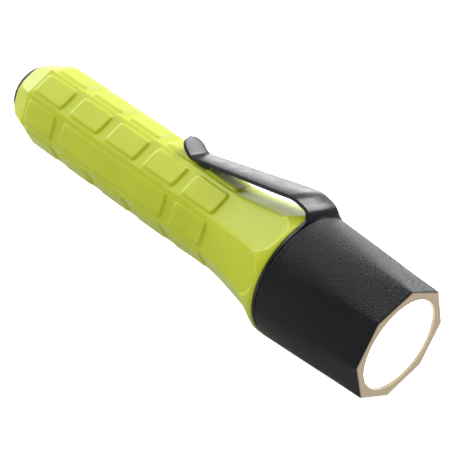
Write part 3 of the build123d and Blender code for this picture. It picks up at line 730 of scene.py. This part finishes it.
def moulded_nylon_black():
    """Glass-filled nylon moulded in black: a fine grain that sparkles a little in the light.

    The lip's face catches the lamp's spill, which warms it to tan.
    """
    material, tree, place = new_material("moulded_nylon_black_grained")
    # the spark texture's grain is 0.2 mm; it is drawn at 0.4 mm so that it shows
    grain = add(tree, "TexNoise", {"Vector": place, "Scale": 2500.0, "Detail": 2.5,
                                   "Roughness": 0.6})
    wide = add(tree, "TexNoise", {"Vector": place, "Scale": 150.0, "Detail": 2.0})
    tint = add(tree, "Mix", {0: wide.outputs["Fac"], 6: linear("08090C"), 7: linear("0C0E11")},
               data_type="RGBA")
    parts = add(tree, "SeparateXYZ", {0: place})
    face = add(tree, "MapRange", {0: parts.outputs[0], 1: -0.2 * MM, 2: -0.02 * MM, 3: 0.0,
                                  4: 0.62})
    # the lip's inner wall stands nearer the lamp, and is brighter still
    level = add(tree, "CombineXYZ", {1: parts.outputs[1], 2: parts.outputs[2]})
    radius = add(tree, "VectorMath", {0: level.outputs[0]}, operation="LENGTH")
    wall = add(tree, "MapRange", {0: radius.outputs[1], 1: (OPENING_R + 0.05) * MM,
                                  2: (OPENING_R + 0.2) * MM, 3: 0.9, 4: 0.0})
    ahead = add(tree, "Math", {0: parts.outputs[0], 1: -1.6 * MM}, operation="GREATER_THAN")
    mouth = add(tree, "Math", {0: wall.outputs[0], 1: ahead.outputs[0]}, operation="MULTIPLY")
    both = add(tree, "Math", {0: mouth.outputs[0], 1: face.outputs[0]}, operation="MAXIMUM")
    spill = add(tree, "MapRange", {0: grain.outputs["Fac"], 1: 0.3, 2: 0.7, 3: 0.75, 4: 1.1})
    glow = add(tree, "Math", {0: both.outputs[0], 1: spill.outputs[0]}, operation="MULTIPLY")
    bump = add(tree, "Bump", {"Height": grain.outputs["Fac"], "Strength": 1.0,
                              "Distance": 0.0002})
    rough = add(tree, "MapRange", {0: grain.outputs["Fac"], 1: 0.3, 2: 0.7, 3: 0.32, 4: 0.46})
    finish_surface(tree, add(tree, "BsdfPrincipled", {
        "Base Color": tint.outputs[2], "Roughness": rough.outputs[0], "Normal": bump.outputs[0],
        "IOR": 1.5, "Specular IOR Level": 0.28, "Specular Tint": (0.88, 0.94, 1.0, 1.0),
        "Emission Color": linear("D9C3A0"),
        "Emission Strength": glow.outputs[0]}))
    return material


head = sheet_piece("head_moulding", head_rings(), moulded_nylon_black(), 40)
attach(head, "head")
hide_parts("head_shell")

# ---- Lens and its seal --------------------------------------------------------------------------
# A moulded clear disc with a raised middle, which a flat rubber ring seals against the lip.

LENS_R = 13.4
LENS_BOSS_R = 12.35
LENS_FRONT = -0.55
LENS_SHOULDER = -2.0
lens_outline = (
    [(LENS_FRONT, 0), (LENS_FRONT, 6), (LENS_FRONT, LENS_BOSS_R - 0.2)]
    + bend((LENS_FRONT - 0.2, LENS_BOSS_R - 0.2), 0.2, 60, 90, 3)
    + [(LENS_SHOULDER, LENS_BOSS_R), (LENS_SHOULDER, LENS_R - 0.1),
       (LENS_SHOULDER - 0.1, LENS_R), (LENS_REAR + 0.1, LENS_R), (LENS_REAR, LENS_R - 0.1),
       (LENS_REAR, 0)]
)
polycarbonate = clear_glass("polished_polycarbonate", "FDFDFB", 1.58, 0.03, 1.1)
lens = sheet_piece("lens_disc", turned_rings(lens_outline, 128), polycarbonate)
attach(lens, "head")
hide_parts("lens")
dress(black_rubber, "lens_seal")

# ---- Belt clip ----------------------------------------------------------------------------------
# One strap of spring steel, blacked and waxed: a flat ring trapped between collar and head, a leg,
# a bend over the collar, and a long arm with a turned-up round tip.

CLIP_TIP_HALF = 3.65
CLIP_BEND_HALF = 5.6
CLIP_BEND_X = -44.0
CLIP_THICK = 1.0
CLIP_ROUTE = ((-80.5, 15.25), (-75.5, 12.05), (-39.3, 19.72), (-33.0, 18.65), (-33.0, 15.3))
CLIP_BENDS = (3.5, 9.5, 3.2)
CLIP_FLARE = ((14.6, 9.2), (15.4, 8.4), (16.2, 7.3), (17.0, 6.4), (18.0, 5.9), (18.8, 5.6))
CLIP_EDGE = 0.2
RING_R = 17.25
RING_BORE_R = 14.85


def rounded_route(points, radii, step):
    """Points every step or so along straight runs joined by arcs, in the upright plane."""
    points = [Vector(p) for p in points]
    route = [points[0]]
    for before, corner, after, radius in zip(points, points[1:], points[2:], radii):
        to_start = (before - corner).normalized()
        to_end = (after - corner).normalized()
        half = to_start.angle(to_end) / 2
        reach = radius / math.tan(half)
        middle = corner + (to_start + to_end).normalized() * radius / math.sin(half)
        start = corner + to_start * reach - middle
        turn = math.pi - 2 * half
        sign = 1 if start.cross(corner + to_end * reach - middle) > 0 else -1
        count = max(4, int(turn * radius / (step * 0.5)))
        for k in range(count + 1):
            route.append(middle + Matrix.Rotation(sign * turn * k / count, 2) @ start)
    route.append(points[-1])
    filled = []
    for a, b in zip(route, route[1:]):
        pieces = max(1, round((b - a).length / step))
        filled += [a + (b - a) * k / pieces for k in range(pieces)]
    return np.array(filled + [route[-1]])


def clip_half_width(along, z, x):
    """Half the strap's width: a round tip, a widening arm, and a foot that spreads to the ring."""
    if x > -35:
        heights, halves = zip(*CLIP_FLARE)
        return float(np.interp(z, heights, halves))
    share = (x - CLIP_ROUTE[1][0]) / (CLIP_BEND_X - CLIP_ROUTE[1][0])
    half = CLIP_TIP_HALF + (CLIP_BEND_HALF - CLIP_TIP_HALF) * min(max(share, 0), 1)
    if along < CLIP_TIP_HALF:
        return math.sqrt(max(CLIP_TIP_HALF**2 - (CLIP_TIP_HALF - along) ** 2, 0))
    return half


def strap_section(half_width):
    """A flat oblong with rounded edges, as (across, through the thickness)."""
    edge = min(CLIP_EDGE, half_width * 0.9)
    half_thick = CLIP_THICK / 2
    points = []
    for middle_across, middle_up, start in ((1, 1, 0), (-1, 1, 90), (-1, -1, 180), (1, -1, 270)):
        for a in np.radians(np.linspace(start, start + 90, 4)):
            across = middle_across * (half_width - edge) + edge * math.cos(a)
            up = middle_up * (half_thick - CLIP_EDGE) + CLIP_EDGE * math.sin(a)
            points.append((across, up))
    return np.array(points)


def clip_rings():
    """Sections of the strap from its tip to its foot."""
    route = rounded_route(CLIP_ROUTE, CLIP_BENDS, 0.5)
    ahead = np.gradient(route, axis=0)
    ahead /= np.linalg.norm(ahead, axis=1)[:, None]
    along = np.concatenate([[0], np.cumsum(np.linalg.norm(np.diff(route, axis=0), axis=1))])
    rings = []
    for place, direction, far in zip(route, ahead, along):
        half = clip_half_width(far + 0.02, place[1], place[0])
        section = strap_section(max(half, 0.3))
        up = np.array([-direction[1], direction[0]])
        x = place[0] + section[:, 1] * up[0]
        z = place[1] + section[:, 1] * up[1]
        rings.append(np.stack([x, section[:, 0], z], axis=1))
    ends = [ring.mean(axis=0)[None, :] for ring in (rings[0], rings[-1])]
    return [ends[0]] + rings + [ends[1]]


def blacked_spring_steel():
    """Black oxide and wax on spring steel: near black, with a smooth grey sheen at a low angle."""
    material, tree, place = new_material("waxed_black_oxide_spring_steel")
    cloud = add(tree, "TexNoise", {"Vector": place, "Scale": 260.0, "Detail": 3.0})
    tint = add(tree, "Mix", {0: cloud.outputs["Fac"], 6: linear("17181A"), 7: linear("1F2022")},
               data_type="RGBA")
    edge = add(tree, "MapRange", {0: add(tree, "NewGeometry").outputs["Pointiness"],
                                  1: 0.55, 2: 0.66, 3: 0.0, 4: 0.12})
    wear_and_painted_light = add(tree, "Mix", {0: edge.outputs[0], 6: tint.outputs[2], 7: linear("77797C")},
               data_type="RGBA")
    grain = add(tree, "TexNoise", {"Vector": place, "Scale": 3000.0, "Detail": 2.0})
    bump = add(tree, "Bump", {"Height": grain.outputs["Fac"], "Strength": 0.2,
                              "Distance": 0.00003})
    rough = add(tree, "MapRange", {0: cloud.outputs["Fac"], 1: 0.3, 2: 0.7, 3: 0.24, 4: 0.32})
    finish_surface(tree, add(tree, "BsdfPrincipled", {
        "Base Color": wear_and_painted_light.outputs[2], "Roughness": rough.outputs[0], "Normal": bump.outputs[0],
        "IOR": 1.5, "Specular IOR Level": 0.35, "Specular Tint": (0.92, 0.96, 1.0, 1.0)}))
    return material


def joined(piece, other):
    """Fuses other into piece, so that they are one closed mesh."""
    union = piece.modifiers.new("union", "BOOLEAN")
    union.operation = "UNION"
    union.solver = "EXACT"
    union.object = other
    shape = piece.evaluated_get(bpy.context.evaluated_depsgraph_get())
    fused = bpy.data.meshes.new_from_object(shape)
    piece.modifiers.clear()
    piece.data = fused
    bpy.data.objects.remove(other)
    fused.shade_smooth()
    fused.set_sharp_from_angle(angle=math.radians(35))


clip_steel = blacked_spring_steel()
clip = capped_piece("belt_clip", clip_rings(), clip_steel, 35)
ring_outline = ([(-33.35, RING_BORE_R), (-33.4, RING_BORE_R + 0.05), (-33.4, RING_R - 0.1),
                 (-33.3, RING_R), (-32.65, RING_R), (-32.55, RING_R - 0.1),
                 (-32.55, RING_BORE_R + 0.05), (-32.6, RING_BORE_R)])
joined(clip, sheet_piece("clip_ring_plate", turned_rings(ring_outline), clip_steel, 35))
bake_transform(clip)
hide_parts("clip_ring", "clip_arm")

# ---- Studio -------------------------------------------------------------------------------------
# A lit white table, a soft box above and behind, a low wall of light behind, one past the tail, a
# gleam for the head, a fill for the near side, and the camera.

SCENE = bpy.context.scene
SCENE.view_settings.view_transform = "Standard"
FLOOR_HALF = 3.0
TABLE_GLOW = 0.22


def lit_table():
    """A white acrylic light table: matt, and lit from below, so that shadows wash out.

    The camera sees it burnt out to white, but the light it lends to the lamp is softer.
    """
    material, tree, place = new_material("lit_white_acrylic")
    haze = add(tree, "TexNoise", {"Vector": place, "Scale": 3.0})
    tint = add(tree, "Mix", {0: haze.outputs["Fac"], 6: linear("B4B4B4"), 7: linear("BABABA")},
               data_type="RGBA")
    seen = add(tree, "LightPath").outputs["Is Camera Ray"]
    strength = add(tree, "MapRange", {0: seen, 3: TABLE_GLOW, 4: 1.0})
    finish_surface(tree, add(tree, "BsdfPrincipled", {
        "Base Color": tint.outputs[2], "Roughness": 0.9, "Specular IOR Level": 0.1,
        "Emission Color": (1, 1, 1, 1), "Emission Strength": strength.outputs[0]}))
    return material


def table_top():
    """The table: a slab whose top touches the lamp's lowest point."""
    top = cad_box[0][2]
    low, high = -FLOOR_HALF, FLOOR_HALF
    points = np.array([(x, y, z) for z in (top - 0.01, top) for y in (low, high)
                       for x in (low, high)])
    faces = [(0, 2, 3, 1), (4, 5, 7, 6), (0, 1, 5, 4), (2, 6, 7, 3), (0, 4, 6, 2), (1, 3, 7, 5)]
    return mesh_piece("floor", points, faces, lit_table())


def soft_box(name, place, target, wide, tall, watts, colour="FFFFFF"):
    """An oblong area light at a place in metres, aimed at a target."""
    light = bpy.data.lights.new(name, "AREA")
    light.shape = "RECTANGLE"
    light.size = wide
    light.size_y = tall
    light.energy = watts
    light.color = linear(colour)[:3]
    lamp = bpy.data.objects.new(name, light)
    aim = Vector(target) - Vector(place)
    lamp.matrix_world = Matrix.Translation(place) @ aim.to_track_quat("-Z", "Y").to_matrix().to_4x4()
    bpy.context.collection.objects.link(lamp)
    return lamp


def camera(aim, distance, azimuth, elevation, roll, lens):
    """A camera that looks at aim, turned about its own view by roll; angles in degrees."""
    a, e, r = (math.radians(v) for v in (azimuth, elevation, roll))
    back = Vector((math.sin(a) * math.cos(e), -math.cos(a) * math.cos(e), math.sin(e)))
    level = Vector((math.cos(a), math.sin(a), 0))
    right = level * math.cos(r) + back.cross(level) * math.sin(r)
    up = back.cross(right)
    turn = Matrix((right, up, back)).transposed().to_4x4()
    data = bpy.data.cameras.new("camera")
    data.lens = lens
    data.sensor_width = 36
    data.clip_start = 0.01
    taker = bpy.data.objects.new("camera", data)
    taker.matrix_world = Matrix.Translation(Vector(aim) + back * distance) @ turn
    bpy.context.collection.objects.link(taker)
    return taker


table_top()
soft_box("top_box", (-0.1, 0.58, 0.68), (-0.06, 0, 0), 0.6, 0.5, 9.5)
soft_box("back_wall", (-0.72, 0.74, 0.08), (-0.06, 0, 0.08), 1.2, 0.3, 3.6)
soft_box("tail_box", (-1.0, -0.1, 0.38), (-0.08, 0, 0), 0.5, 0.5, 5.0)
# a light that only shows as a gleam on the head, and a fill that lights colour but leaves no gleam
gleam = soft_box("gleam_box", (-0.49, -0.18, 0.77), (-0.08, 0, 0), 0.45, 0.45, 2.6)
gleam.visible_diffuse = False
fill = soft_box("side_fill", (-0.5, -0.6, 0.6), (-0.08, 0, 0), 0.45, 0.45, 2.3)
fill.visible_glossy = False
world = bpy.data.worlds.new("studio")
world.use_nodes = True
world.node_tree.nodes["Background"].inputs["Color"].default_value = linear("FFFFFF")
world.node_tree.nodes["Background"].inputs["Strength"].default_value = 0.3
SCENE.world = world
SCENE.camera = camera((-0.0606, 0, -0.0004), 0.4232, 36.31, 24.08, 18.17, 130.47)
